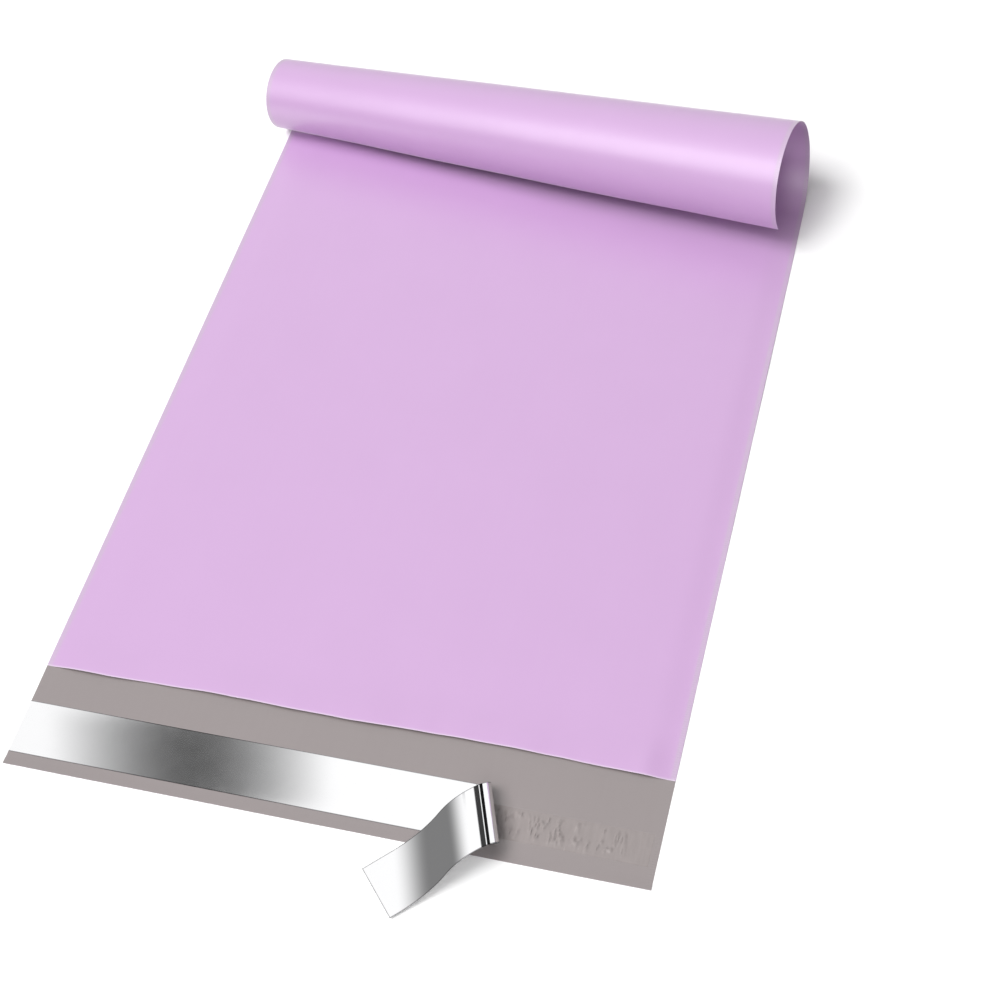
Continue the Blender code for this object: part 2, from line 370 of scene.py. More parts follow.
def film_columns(film):
    """Places across the film, closer together beside the welds."""
    side = [film.weld_width * step for step in WELD_STEPS]
    side += [film.weld_width + film.pillow_run * step for step in PILLOW_STEPS]
    start = film.weld_width + film.pillow_run
    count = round((BAG_WIDTH - 2 * start) / COLUMN_SPACING)
    middle = [start + (BAG_WIDTH - 2 * start) * i / count for i in range(count + 1)]
    return side + middle + [BAG_WIDTH - u for u in reversed(side)]


def pocket_rows(film, cone, u):
    """Places along the pocket at one column, from the mouth to the closed end."""
    mouth = film.lip_length
    closed = mouth + film.pocket_length
    pocket_end = closed - film.thickness
    stray = film.mouth_stray * mouth_stray(u)
    near_mouth = [mouth + MOUTH_ZONE * step + stray * (1 - step) for step in MOUTH_STEPS]
    start = cone.take_off(u)
    flat_run = start - near_mouth[-1]
    flat = [near_mouth[-1] + flat_run * i / FLAT_ROWS for i in range(1, FLAT_ROWS)]
    pillow_start = pocket_end - film.pillow_run
    curl = [start + (pillow_start - start) * i / CURL_ROWS for i in range(CURL_ROWS + 1)]
    fold = [pillow_start + film.pillow_run * step for step in FOLD_STEPS]
    return near_mouth + flat + curl + fold + [closed]


def film_wave(film, u, v):
    """Slow waves that both plies share, nothing where the adhesive and liner lie."""
    wave = 0
    for across, along, layer, share in FILM_WAVES:
        wave += share * noise.noise(Vector((u * across, v * along, layer)))
    return film.film_wave * max(0, 0.5 + wave) * ease((v - WAVES_FROM) / WAVES_RUN)


def mouth_wave(u):
    """Waves along the mouth's free edge, between 0 and 1: slow uneven ones under quick ones."""
    slow_rate, bend_rate, bend, quick_rate, slow_share = 61, 23, 2.2, 120, 0.62
    slow = 0.5 + 0.5 * math.sin(u * slow_rate + bend * math.sin(u * bend_rate))
    quick = 0.5 + noise.noise(Vector((u * quick_rate, 1.3, 0)))
    return slow_share * slow + (1 - slow_share) * clamp(quick)


def mouth_stray(u):
    """Place of the mouth's cut at one column, in strays: long waves that fall back at the right."""
    crest, pitch, ragged_rate, set_back = 0.07, 0.115, 55, 0.7
    fall, fall_from, fall_run = 1.3, 0.19, 0.05
    ragged = noise.noise(Vector((u * ragged_rate, 6.1, 2.4)))
    waves = math.cos(math.tau * (u - crest) / pitch) + ragged
    return waves - set_back - fall * ease((u - fall_from) / fall_run)


def pocket_gap(film, u, v):
    """Air between the plies: nothing at the welds and the fold, more at the mouth."""
    pocket_end = film.lip_length + film.pocket_length - film.thickness
    from_weld = min(u, BAG_WIDTH - u) - film.weld_width
    pillow = ease(from_weld / film.pillow_run) * ease((pocket_end - v) / film.pillow_run)
    lift = film.mouth_lift * mouth_wave(u) * ease(1 - (v - film.lip_length) / film.mouth_run)
    return (film.pocket_gap + lift) * pillow


class FlatFilm:
    """The bag laid out flat as a bmesh: x across, y along and z up from the back ply."""

    def __init__(self, film, cone):
        self.film = film
        self.bm = bmesh.new()
        self.edge = self.bm.verts.layers.float.new("cut_edge_highlight")
        self.weld = self.bm.verts.layers.float.new("weld")
        self.columns = film_columns(film)
        self.rows = [pocket_rows(film, cone, u) for u in self.columns]

    def vertex(self, u, v, height, edge_distance):
        """A vertex that knows how near it is to a cut edge and to a weld."""
        vertex = self.bm.verts.new((u, v, height))
        # Nearness to a cut edge, where the film gets its painted highlight
        vertex[self.edge] = 1 - min(edge_distance / EDGE_HIGHLIGHT_WIDTH, 1)
        from_weld = min(u, BAG_WIDTH - u) - self.film.weld_width
        vertex[self.weld] = 1 - clamp(from_weld / WELD_SOFTNESS)
        return vertex

    def plies(self):
        """Vertices of the four faces of the two plies, as four lists of rows."""
        film = self.film
        layers = [[], [], [], []]
        last = len(self.rows[0]) - 1
        for k in range(last + 1):
            row = [[], [], [], []]
            for u, places in zip(self.columns, self.rows):
                v = places[k]
                gap = pocket_gap(film, u, v)
                low = film_wave(film, u, v)
                side = min(u, BAG_WIDTH - u)
                from_mouth = v - places[0]
                inner = k < last and film.weld_width - SAME_PLACE <= side
                floor = None
                if inner or k == 0:
                    floor = self.vertex(u, v, low + film.thickness, NO_EDGE)
                ceiling = floor
                if inner and gap > 0:
                    ceiling = self.vertex(u, v, low + film.thickness + gap, from_mouth)
                row[0].append(self.vertex(u, v, low, NO_EDGE))
                row[1].append(floor)
                row[2].append(ceiling)
                row[3].append(self.vertex(u, v, low + 2 * film.thickness + gap, from_mouth))
            for layer, line in zip(layers, row):
                layer.append(line)
        return layers

    def lip(self):
        """Rows of the lip from its end to just before the mouth, for its two faces."""
        film = self.film
        places = [step * MM for step in LIP_ROWS]
        places += [film.lip_length - step * MM for step in LIP_ROWS_AT_MOUTH]
        out, top = [], []
        for v in places:
            line = [(u, self.lip_lift(u, v), min(u, BAG_WIDTH - u, v)) for u in self.columns]
            out.append([self.vertex(u, v, z, side) for u, z, side in line])
            top.append([self.vertex(u, v, z + film.thickness, side) for u, z, side in line])
        return out, top

    def lip_lift(self, u, v):
        """Small waves of the lip's free end, nothing under the adhesive and liner."""
        wave = clamp(0.5 + noise.noise(Vector((u * LIP_WAVE_RATE, 5.5, 0))))
        return LIP_WAVE_HEIGHT * wave * ease(1 - v / LIP_WAVE_RUN) + film_wave(self.film, u, v)

    def cell(self, layer, i, j, face=OUTER_FACE, other=None):
        """Two triangles of one cell, left out where the pocket's floor and ceiling meet."""
        places = ((i, j), (i, j + 1), (i + 1, j + 1), (i + 1, j))
        for picks in ((0, 1, 2), (0, 2, 3)):
            triangle = [layer[places[p][0]][places[p][1]] for p in picks]
            if other and triangle == [other[places[p][0]][places[p][1]] for p in picks]:
                continue
            self.bm.faces.new(triangle).material_index = face

    def band(self, near, far, face=OUTER_FACE):
        """Four-sided faces between two rows."""
        for j in range(len(near) - 1):
            self.bm.faces.new((near[j], near[j + 1], far[j + 1], far[j])).material_index = face


def flat_film(film, cone):
    """Skin the flat film and write its places across and along as the UV map, in metres."""
    flat = FlatFilm(film, cone)
    back_out, back_in, front_in, front_out = flat.plies()
    lip_out, lip_top = flat.lip()
    lip_out.append(back_out[0])
    lip_top.append(back_in[0])
    last_row = len(back_out) - 1
    last_column = len(flat.columns) - 1
    weld_columns = sum(1 for u in flat.columns if u < film.weld_width - SAME_PLACE)
    new_face = flat.bm.faces.new
    for i in range(last_row):
        for j in range(last_column):
            flat.cell(back_out, i, j)
            flat.cell(front_out, i, j)
            if i < last_row - 1 and weld_columns <= j < last_column - weld_columns:
                flat.cell(back_in, i, j, INNER_FACE, front_in)
                flat.cell(front_in, i, j, INNER_FACE, back_in)
    for i in range(len(lip_out) - 1):
        flat.band(lip_out[i], lip_out[i + 1])
        flat.band(lip_top[i], lip_top[i + 1], INNER_FACE)
        for j in (0, last_column):
            side = (lip_out[i][j], lip_top[i][j], lip_top[i + 1][j], lip_out[i + 1][j])
            new_face(side).material_index = INNER_FACE
    flat.band(lip_out[0], lip_top[0], INNER_FACE)
    flat.band(front_in[0], front_out[0])
    flat.band(back_out[-1], front_out[-1])
    for j in (0, last_column):
        corner = (back_out[0][j], back_in[0][j], front_out[0][j], front_out[1][j], back_out[1][j])
        new_face(corner)
        for i in range(1, last_row):
            new_face((back_out[i][j], front_out[i][j], front_out[i + 1][j], back_out[i + 1][j]))
    bmesh.ops.recalc_face_normals(flat.bm, faces=flat.bm.faces)
    write_uv(flat.bm, "film")
    inside = flat.bm.faces.layers.int.new("inside")
    for face in flat.bm.faces:
        face[inside] = face.material_index
    return mesh_from("mailer_film", flat.bm)


def winding_tree(outside, inside):
    """Wind flat film round a cone from its take-off line on, and place it in the frame."""
    tree, given, place = new_tree("wind_film_on_cone", {
        "Apex": "Vector",
        "Base": "Vector",
        "Axis": "Vector",
        "Slant": "Float",
        "Sine": "Float",
        "Corner": "Vector",
    })
    on_floor = vector_node(tree, "MULTIPLY", place, (1, 1, 0))
    from_apex = vector_node(tree, "SUBTRACT", on_floor, given["Apex"])
    arm = parts_of(tree, from_apex)
    heading = math_node(tree, "ARCTAN2", arm[1], arm[0])
    past_take_off = math_node(tree, "ADD", heading, given["Slant"])
    turn = math_node(tree, "DIVIDE", past_take_off, given["Sine"])
    ruling = scaled(tree, given["Base"], vector_node(tree, "LENGTH", from_apex))
    height = vector_of(tree, {2: parts_of(tree, place)[2]})
    lying = vector_node(tree, "ADD", ruling, height)
    wound = add_node(
        tree, "ShaderNodeVectorRotate", {"Vector": lying, "Axis": given["Axis"], "Angle": turn}
    ).outputs[0]
    wound = vector_node(tree, "ADD", wound, given["Apex"])
    curled = math_node(tree, "GREATER_THAN", turn, 0.0)
    choice = {0: curled, 4: place, 5: wound}
    chosen = add_node(tree, "ShaderNodeMix", choice, data_type="VECTOR").outputs[1]
    final = vector_node(tree, "ADD", chosen, given["Corner"])
    moved = placed(tree, given, "Position", final)
    lilac = add_node(tree, "GeometryNodeSetMaterial", {"Geometry": moved, "Material": outside})
    end_tree(tree, lilac.outputs[0], inside, Selection=mesh_attribute(tree, "inside", "INT"))
    return tree


def new_material(name):
    """A material, its node tree and its shader."""
    material = bpy.data.materials.new(name)
    material.use_nodes = True
    return material, material.node_tree, material.node_tree.nodes["Principled BSDF"]


def noise_texture(tree, place, scale, detail):
    inputs = {"Vector": place, "Scale": scale, "Detail": detail}
    return add_node(tree, "ShaderNodeTexNoise", inputs).outputs[0]


def drawn_noise(tree, in_mm, pitch, detail):
    """Noise drawn out to these pitches in millimetres along X and Y."""
    scale = (1 / pitch[0], 1 / pitch[1], 1)
    stretched = add_node(tree, "ShaderNodeMapping", {"Vector": in_mm, "Scale": scale}).outputs[0]
    return noise_texture(tree, stretched, 1.0, detail)


def bumped(tree, height, strength, distance, normal=None):
    """Normal of a bumpy surface, on top of another normal if there is one."""
    inputs = {"Height": height, "Strength": strength, "Distance": distance}
    if normal:
        inputs["Normal"] = normal
    return add_node(tree, "ShaderNodeBump", inputs).outputs[0]


def mixed_colour(tree, share, first, second):
    inputs = {0: share, 6: first, 7: second}
    return add_node(tree, "ShaderNodeMix", inputs, data_type="RGBA").outputs[2]


def mesh_value(tree, name):
    """A number that the mesh carries at its vertices."""
    return add_node(tree, "ShaderNodeAttribute", attribute_name=name).outputs["Fac"]


def uv_in_mm(tree, uv_map):
    uv = add_node(tree, "ShaderNodeUVMap", uv_map=uv_map).outputs[0]
    return scaled(tree, uv, 1 / MM)


def film_material(name, face_colour, weld_colour, edge_highlight_colour, roughness):
    """Co-extruded low-density polyethylene film, blown and slit.

    To the eye it is satin: a soft wide highlight, faint streaks along the way it was drawn, a
    slight cloudiness, and a paler painted highlight along the cut edges.
    """
    material, tree, shader = new_material(name)
    in_mm = uv_in_mm(tree, "film")
    # Clouds about 30 mm across shift the colour by less than a hundredth
    clouds = noise_texture(tree, in_mm, 1 / 30, 3.0)
    base = scaled(tree, tuple(face_colour), remap(tree, clouds, (0.3, 0.7), (0.992, 1.008)))
    # Pressing changes only part of the film's depth, and the painted highlight along the cut edges is
    # laid on at part strength
    weld_share, edge_highlight_share = 0.6, 0.8
    weld = mesh_value(tree, "weld")
    greyed = math_node(tree, "MULTIPLY", weld, weld_share)
    base = mixed_colour(tree, greyed, base, (*weld_colour, 1))
    edge_highlight = math_node(tree, "MULTIPLY", mesh_value(tree, "cut_edge_highlight"), edge_highlight_share)
    colour = mixed_colour(tree, edge_highlight, base, (*edge_highlight_colour, 1))
    # Drawing streaks, 2 mm apart and 60 mm long, also vary the roughness
    streaks = drawn_noise(tree, in_mm, (2, 60), 2.0)
    roughness_spread = 0.03
    rough_range = (roughness - roughness_spread, roughness + roughness_spread)
    rough = remap(tree, streaks, (0.3, 0.7), rough_range)
    # Haze grain is about 0.1 mm on real film; 0.7 mm shows in the render
    grain = noise_texture(tree, in_mm, 1 / 0.7, 2.0)
    fine = bumped(tree, grain, 0.25, 0.00001)
    drawn = bumped(tree, streaks, 0.35, 0.00003, fine)
    # Crimps of the side weld, 1 mm apart along it
    crimps = add_node(
        tree, "ShaderNodeTexWave", {"Vector": in_mm, "Scale": 0.31, "Distortion": 0.3},
        bands_direction="Y",
    ).outputs["Fac"]
    pressed = math_node(tree, "MULTIPLY", weld, crimps)
    crimped = bumped(tree, pressed, 0.5, 0.00008, drawn)
    for name, value in (("Base Color", colour), ("Roughness", rough), ("Normal", crimped)):
        tree.links.new(value, shader.inputs[name])
    # Polyethylene has 1.51; the pigment in the skin of this film makes it shine more
    shader.inputs["IOR"].default_value = 1.75
    shader.inputs["Specular IOR Level"].default_value = 1.0
    # Scuffing of the film shows as a pale bloom at a glancing angle
    shader.inputs["Sheen Weight"].default_value = 0.8
    shader.inputs["Sheen Roughness"].default_value = 0.25
    return material


def glue_material(colour):
    """Hot-melt adhesive, laid on by a roller and bared by the peel: clear, wet-looking and tacky."""
    material, tree, shader = new_material("hot_melt_adhesive")
    place = tree.nodes.new("ShaderNodeTexCoord").outputs["Object"]
    # Ripples 1.5 mm apart and 7 mm long across the pull
    ripples = drawn_noise(tree, scaled(tree, place, 1 / MM), (1.5, 7), 4.0)
    base = scaled(tree, tuple(colour), remap(tree, ripples, (0.35, 0.65), (0.97, 1.04)))
    rough = remap(tree, ripples, (0.0, 1.0), (0.12, 0.34))
    rippled = bumped(tree, ripples, 0.3, 0.00006)
    for name, value in (("Base Color", base), ("Normal", rippled), ("Roughness", rough)):
        tree.links.new(value, shader.inputs[name])
    shader.inputs["IOR"].default_value = 1.48
    return material


def liner_material(colour):
    """Polyester film metallised with aluminium: a clear mirror with a faint haze and pulled lines."""
    material, tree, shader = new_material("metallised_polyester")
    in_mm = uv_in_mm(tree, "strip")
    # Lines 1.2 mm apart along the strip, from the metallising rollers
    lines = drawn_noise(tree, in_mm, (60, 1.2), 2.0)
    haze = noise_texture(tree, in_mm, 1 / 6, 3.0)
    rough = remap(tree, haze, (0.0, 1.0), (0.035, 0.06))
    # Painted shade: a dark band along both slit edges and the tail's end
    edge_shade_colour = (0.1, 0.1, 0.105, 1)
    edge_shade = mixed_colour(tree, mesh_value(tree, "painted_edge_shade"), (*colour, 1), edge_shade_colour)
    lined = bumped(tree, lines, 0.1, 0.000002)
    for name, value in (("Base Color", edge_shade), ("Normal", lined), ("Roughness", rough)):
        tree.links.new(value, shader.inputs[name])
    shader.inputs["Metallic"].default_value = 1
    return material


class MAILER_OT_film(bpy.types.Operator):
    """Build the bag's folded film, with its curled closed end"""

    bl_idname = "mailer.film"
    bl_label = "Bag film"

    def execute(self, context):
        film, colours = context.scene.mailer_film, context.scene.mailer_colours
        cone = Cone(film)
        item = new_object("mailer_film", flat_film(film, cone))
        outside = film_material(
            "polyethylene_film_lilac", colours.outside, colours.weld, colours.outside_edge_highlight,
            roughness=0.38,
        )
        inside = film_material(
            "polyethylene_film_grey", colours.inside, colours.inside, colours.inside,
            roughness=0.45,
        )
        shape_with(item, winding_tree(outside, inside), {
            "Apex": cone.apex,
            "Base": cone.base,
            "Axis": cone.axis,
            "Slant": cone.slant,
            "Sine": cone.sine,
            "Corner": SHEET_CORNER,
        })
        finish_piece(item, "bag_body")
        return {"FINISHED"}


def cut_strip(low, high, cuts):
    """A thin box between two corners, cut across at each (place, normal) plane."""
    bm = bmesh.new()
    bmesh.ops.create_cube(bm, size=1)
    for vertex in bm.verts:
        vertex.co = [high[axis] if vertex.co[axis] > 0 else low[axis] for axis in range(3)]
    for place, normal in cuts:
        everything = bm.verts[:] + bm.edges[:] + bm.faces[:]
        bmesh.ops.bisect_plane(bm, geom=everything, dist=1e-7, plane_co=place, plane_no=normal)
    return bm


def relief_tree(material):
    """Raise pulled ridges on the bare part of the adhesive."""
    tree, given, place = new_tree("raise_glue_ridges", {
        "Bare from": "Vector",
        "Peel direction": "Vector",
        "Far corner": "Vector",
        "Near corner": "Vector",
        "Ridge height": "Float",
        "Ridge spacing": "Float",
        "Ridge length": "Float",
        "Seed": "Int",
    })
    here = parts_of(tree, place)
    far = parts_of(tree, given["Far corner"])
    near = parts_of(tree, given["Near corner"])
    from_peel = vector_node(tree, "SUBTRACT", place, given["Bare from"])
    bared = vector_node(tree, "DOT_PRODUCT", from_peel, given["Peel direction"])
    across = math_node(tree, "DIVIDE", here[0], given["Ridge spacing"])
    along = math_node(tree, "DIVIDE", here[1], given["Ridge length"])
    pattern_place = vector_of(tree, {0: across, 1: along, 2: given["Seed"]})
    lumps = add_node(
        tree, "ShaderNodeTexNoise",
        {"Vector": pattern_place, "Scale": 1.0, "Detail": 2.0, "Roughness": 0.5, "Distortion": 0.35},
    ).outputs[0]
    # Folding the noise about its middle gives narrow crests
    middle, crest_width, swell_share = 0.5, 0.055, 0.35
    folded = math_node(tree, "ABSOLUTE", math_node(tree, "SUBTRACT", lumps, middle))
    crest = math_node(tree, "SUBTRACT", 1.0, fade(tree, folded, 0.0, crest_width))
    swell = math_node(tree, "MULTIPLY", fade(tree, lumps, 0.35, 0.75), swell_share)
    relief = math_node(tree, "ADD", crest, swell)
    # Smooth stretches lie between the patches of ridges, which are about 9 mm across
    patches = noise_texture(tree, scaled(tree, place, 1 / (9 * MM)), 1.0, 1.0)
    to_right_end = math_node(tree, "SUBTRACT", far[0], here[0])
    to_far_edge = math_node(tree, "SUBTRACT", far[1], here[1])
    to_near_edge = math_node(tree, "SUBTRACT", here[1], near[1])
    masks = (
        fade(tree, patches, 0.36, 0.52),
        fade(tree, bared, 3 * MM, 9 * MM),
        fade(tree, to_right_end, 3 * MM, 17 * MM),
        fade(tree, to_far_edge, 0.3 * MM, 3 * MM),
        fade(tree, to_near_edge, 0.3 * MM, 3 * MM),
        mesh_attribute(tree, "top", "FLOAT"),
        given["Ridge height"],
    )
    for mask in masks:
        relief = math_node(tree, "MULTIPLY", relief, mask)
    end_tree(tree, placed(tree, given, "Offset", vector_of(tree, {2: relief})), material)
    return tree


class MAILER_OT_adhesive(bpy.types.Operator):
    """Build the adhesive band, with ridges where the liner is peeled"""

    bl_idname = "mailer.adhesive"
    bl_label = "Adhesive"

    def execute(self, context):
        liner, glue = context.scene.mailer_liner, context.scene.mailer_glue
        bare_from, peel_direction = peel_frame(liner, 0)
        # Long steps under the liner and short ones over the ridges
        long_step, short_step, short_from = 5 * MM, 0.45 * MM, bare_from.x - 10 * MM
        cuts = []
        x = GLUE_LOW.x + long_step
        while x < GLUE_HIGH.x:
            cuts.append(((x, 0, 0), (1, 0, 0)))
            x += short_step if x > short_from else long_step
        steps = 30
        for i in range(1, steps):
            y = GLUE_LOW.y + (GLUE_HIGH.y - GLUE_LOW.y) * i / steps
            cuts.append(((0, y, 0), (0, 1, 0)))
        bm = cut_strip(GLUE_LOW, GLUE_HIGH, cuts)
        top = bm.verts.layers.float.new("top")
        middle = (GLUE_LOW.z + GLUE_HIGH.z) / 2
        # The band thins out towards its long edges, over its last millimetre
        edge_thinning = 0.8
        for vertex in bm.verts:
            vertex[top] = 1 if vertex.co.z > middle else 0
            if vertex[top]:
                inset = min(vertex.co.y - GLUE_LOW.y, GLUE_HIGH.y - vertex.co.y)
                vertex.co.z -= edge_thinning * (GLUE_HIGH.z - GLUE_LOW.z) * ease(1 - inset / MM)
        item = new_object("hot_melt_band", mesh_from("hot_melt_band", bm))
        material = glue_material(context.scene.mailer_colours.adhesive)
        shape_with(item, relief_tree(material), {
            "Bare from": bare_from,
            "Peel direction": peel_direction,
            "Far corner": GLUE_HIGH,
            "Near corner": GLUE_LOW,
            "Ridge height": glue.ridge_height,
            "Ridge spacing": glue.ridge_spacing,
            "Ridge length": glue.ridge_length,
            "Seed": glue.seed,
        })
        finish_piece(item, "adhesive_strip")
        return {"FINISHED"}


# Steepest heading that the tail may take on its way down, and how often the search for it halves
STEEPEST_HEADING = math.radians(268)
HALVINGS = 40


def tail_profile(liner, steepest):
    """Stations along the tail: distance, forward and up. Each stretch turns evenly."""
    # Length of each stretch, its heading at the start and at the end, and its steps
    stretches = (
        (liner.peel_radius * liner.peel_turn, 0, liner.peel_turn, 48),
        (liner.crown_run, liner.peel_turn, steepest, 26),
        (liner.valley_run, steepest, liner.end_heading, 20),
        (2 * liner.peeled_length, liner.end_heading, liner.end_heading, 60),
    )
    distance = forward = up = 0
    stations = [(0, 0, 0)]
    for run, start, end, steps in stretches:
        for i in range(steps):
            heading = start + (end - start) * (i + 0.5) / steps
            distance += run / steps
            forward += run / steps * math.cos(heading)
            up += run / steps * math.sin(heading)
            stations.append((distance, forward, up))
    return stations


def height_at(stations, distance):
    return float(np.interp(distance, [s[0] for s in stations], [s[2] for s in stations]))


def settled_profile(liner, rise):
    """The profile whose steepest heading brings the tail's end just clear of the floor."""
    cosine, sine = math.cos(liner.peel_slant), math.sin(liner.peel_slant)
    near = liner.peeled_length * cosine + liner.to_lip_end * sine
    far = near + liner.width * sine
    low, high = liner.peel_turn, STEEPEST_HEADING
    for _ in range(HALVINGS):
        middle = (low + high) / 2
        stations = tail_profile(liner, middle)
        lowest = min(height_at(stations, near), height_at(stations, far)) + rise
        if lowest > liner.tip_clearance:
            low = middle
        else:
            high = middle
    return tail_profile(liner, low)


def profile_curve(liner, rise):
    """The bend profile as a curve in the XZ plane, led in by a flat run under the whole liner."""
    stations = settled_profile(liner, rise)
    points = [(-BAG_WIDTH, 0)] + [(forward, up) for _, forward, up in stations]
    curve = bpy.data.curves.new("liner_profile", "CURVE")
    curve.dimensions = "3D"
    spline = curve.splines.new("POLY")
    spline.points.add(len(points) - 1)
    for point, (forward, up) in zip(spline.points, points):
        point.co = (forward, 0, up, 1)
    return new_object("liner_profile", curve), [s[0] for s in stations]


def bending_tree(material):
    """Bend a flat strip along a profile curve, about lines that lie slanted across it."""
    tree, given, place = new_tree("bend_liner", {
        "Profile": "Object",
        "Lead in": "Float",
        "Slant": "Float",
        "Peel start": "Vector",
    })

    def turned(vector, angle):
        inputs = {"Vector": vector, "Angle": angle}
        return add_node(tree, "ShaderNodeVectorRotate", inputs, rotation_type="Z_AXIS").outputs[0]

    from_peel = vector_node(tree, "SUBTRACT", place, given["Peel start"])
    flat = parts_of(tree, turned(from_peel, math_node(tree, "MULTIPLY", given["Slant"], -1.0)))
    length = math_node(tree, "ADD", flat[0], given["Lead in"])
    profile = add_node(tree, "GeometryNodeObjectInfo", {"Object": given["Profile"]})
    sample = add_node(
        tree, "GeometryNodeSampleCurve",
        {"Curves": profile.outputs["Geometry"], "Length": length}, mode="LENGTH",
    )
    tangent = parts_of(tree, sample.outputs["Tangent"])
    backward = math_node(tree, "MULTIPLY", tangent[2], -1.0)
    normal = vector_of(tree, {0: backward, 2: tangent[0]})
    raised = scaled(tree, normal, flat[2])
    across = vector_of(tree, {1: flat[1]})
    bent = vector_node(tree, "ADD", sample.outputs["Position"], raised)
    bent = vector_node(tree, "ADD", bent, across)
    final = vector_node(tree, "ADD", turned(bent, given["Slant"]), given["Peel start"])
    end_tree(tree, placed(tree, given, "Position", final), material)
    return tree


class MAILER_OT_liner(bpy.types.Operator):
    """Build the release liner, with its peeled tail"""

    bl_idname = "mailer.liner"
    bl_label = "Release liner"

    def execute(self, context):
        liner = context.scene.mailer_liner
        near_edge = BAG_LOW.y + liner.to_lip_end
        peel_start, forward = peel_frame(liner, GLUE_HIGH.z + SEAT_GAP)
        profile, distances = profile_curve(liner, peel_start.z - liner.thickness)
        cuts = [(peel_start + forward * distance, forward) for distance in distances]
        # Painted shade lies within this distance of a slit edge and of the tail's end
        edge_shade = 0.4 * MM
        cuts.append(((RIGHT_EDGE - edge_shade, 0, 0), (1, 0, 0)))
        slit = edge_shade / liner.width
        for share in (slit, 2 * slit, 0.2, 0.4, 0.6, 0.8, 1 - 2 * slit, 1 - slit):
            cuts.append(((0, near_edge + liner.width * share, 0), (0, 1, 0)))
        low = Vector((LINER_LOW.x, near_edge, peel_start.z))
        high = Vector((RIGHT_EDGE, near_edge + liner.width, peel_start.z + liner.thickness))
        bm = cut_strip(low, high, cuts)
        painted_edge_shade = bm.verts.layers.float.new("painted_edge_shade")
        for vertex in bm.verts:
            inset = min(vertex.co.y - low.y, high.y - vertex.co.y, high.x - vertex.co.x)
            vertex[painted_edge_shade] = 1 - min(inset / edge_shade, 1)
        write_uv(bm, "strip")
        item = new_object("metallised_liner", mesh_from("metallised_liner", bm))
        material = liner_material(context.scene.mailer_colours.liner)
        shape_with(item, bending_tree(material), {
            "Profile": profile,
            "Lead in": BAG_WIDTH,
            "Slant": liner.peel_slant,
            "Peel start": peel_start,
        })
        bpy.data.objects.remove(profile)
        finish_piece(item, "release_liner")
        return {"FINISHED"}


# What the metallised film mirrors: a white room with darker places, each with the direction to it
# as azimuth and elevation in degrees, its radius, its soft edge and how dark it is
DARK_PLACES = (
    (13.5, 56.0, 7.6, 2.2, 0.955),
    (30.5, 35.2, 10.0, 1.2, 0.99),
    (-110.0, 10.0, 30.0, 40.0, 0.8),
)
# A dark bar that only the flat liner mirrors: its middle, its line across, its falloff, its level
# at the middle, and the angles from the middle between which its ends fade out
BAR_MIDDLE = (-43.8, 57.9)
BAR_ACROSS = Vector((0.9062, 0.3442, 0.2454)).normalized()
BAR_FALLOFF = 210
BAR_LEVEL = 0.105
BAR_ENDS = (math.radians(1.2), math.radians(2.0))
MIRRORED_WHITE = 1.12
FLOOR_GLOW = 0.09

# Camera worked out from the bag's edges in the photo, with its angles in degrees
CAMERA_PLACE = Vector((0.33215, -0.25789, 0.604)) + SHEET_CORNER
CAMERA_AZIMUTH, CAMERA_DIP, CAMERA_ROLL = -22.832, 53.4, -10.18
SOFTBOX_DISTANCE = 4.0
KEY_DIRECTION = Vector((-0.4, -0.18, 0.9)).normalized()
KEY_SIZE = (2.6, 2.0)
FRONT_DIRECTION = Vector((-0.15, -0.62, 0.78)).normalized()
FRONT_SIZE = (4.0, 2.8)


def dark_bar(tree, direction):
    """Level of the dark bar: a parabola across it, faded out towards both of its ends."""
    across = vector_node(tree, "DOT_PRODUCT", direction, BAR_ACROSS)
    squared = math_node(tree, "MULTIPLY", across, across)
    bowl = math_node(tree, "MULTIPLY_ADD", squared, BAR_FALLOFF, BAR_LEVEL, use_clamp=True)
    line = direction_to(*BAR_MIDDLE).cross(BAR_ACROSS).normalized()
    off_middle = math_node(tree, "ABSOLUTE", vector_node(tree, "DOT_PRODUCT", direction, line))
    faded = fade(tree, off_middle, *BAR_ENDS)
    return add_node(tree, "ShaderNodeMix", {0: faded, 2: bowl, 3: 1.0}).outputs[0]


def mixed_shader(tree, share, first, second):
    return add_node(tree, "ShaderNodeMixShader", {0: share, 1: first, 2: second}).outputs[0]


def build_room(ambient):
    """White to the camera, an even light for what is lit, and a studio for what mirrors it."""
    world = bpy.data.worlds.new("studio_room")
    bpy.context.scene.world = world
    world.use_nodes = True
    tree = world.node_tree
    tree.nodes.clear()

    def background(colour, strength):
        inputs = {"Color": colour, "Strength": strength}
        return add_node(tree, "ShaderNodeBackground", inputs).outputs[0]

    ray = tree.nodes.new("ShaderNodeLightPath").outputs
    direction = tree.nodes.new("ShaderNodeTexCoord").outputs["Generated"]
    level = dark_bar(tree, direction)
    for azimuth, elevation, radius, softness, darkness in DARK_PLACES:
        facing = vector_node(tree, "DOT_PRODUCT", direction, direction_to(azimuth, elevation))
        angle = math_node(tree, "ARCCOSINE", facing)
        edge = (math.radians(radius), math.radians(radius + softness))
        shade = remap(tree, angle, edge, (1 - darkness, 1.0), "SMOOTHSTEP")
        level = math_node(tree, "MULTIPLY", level, shade)
    mirrored = background(level, MIRRORED_WHITE)
    lit = mixed_shader(tree, ray["Is Glossy Ray"], background(WHITE, ambient), mirrored)
    seen = mixed_shader(tree, ray["Is Camera Ray"], lit, background(WHITE, 1.0))
    add_node(tree, "ShaderNodeOutputWorld", {"Surface": seen})


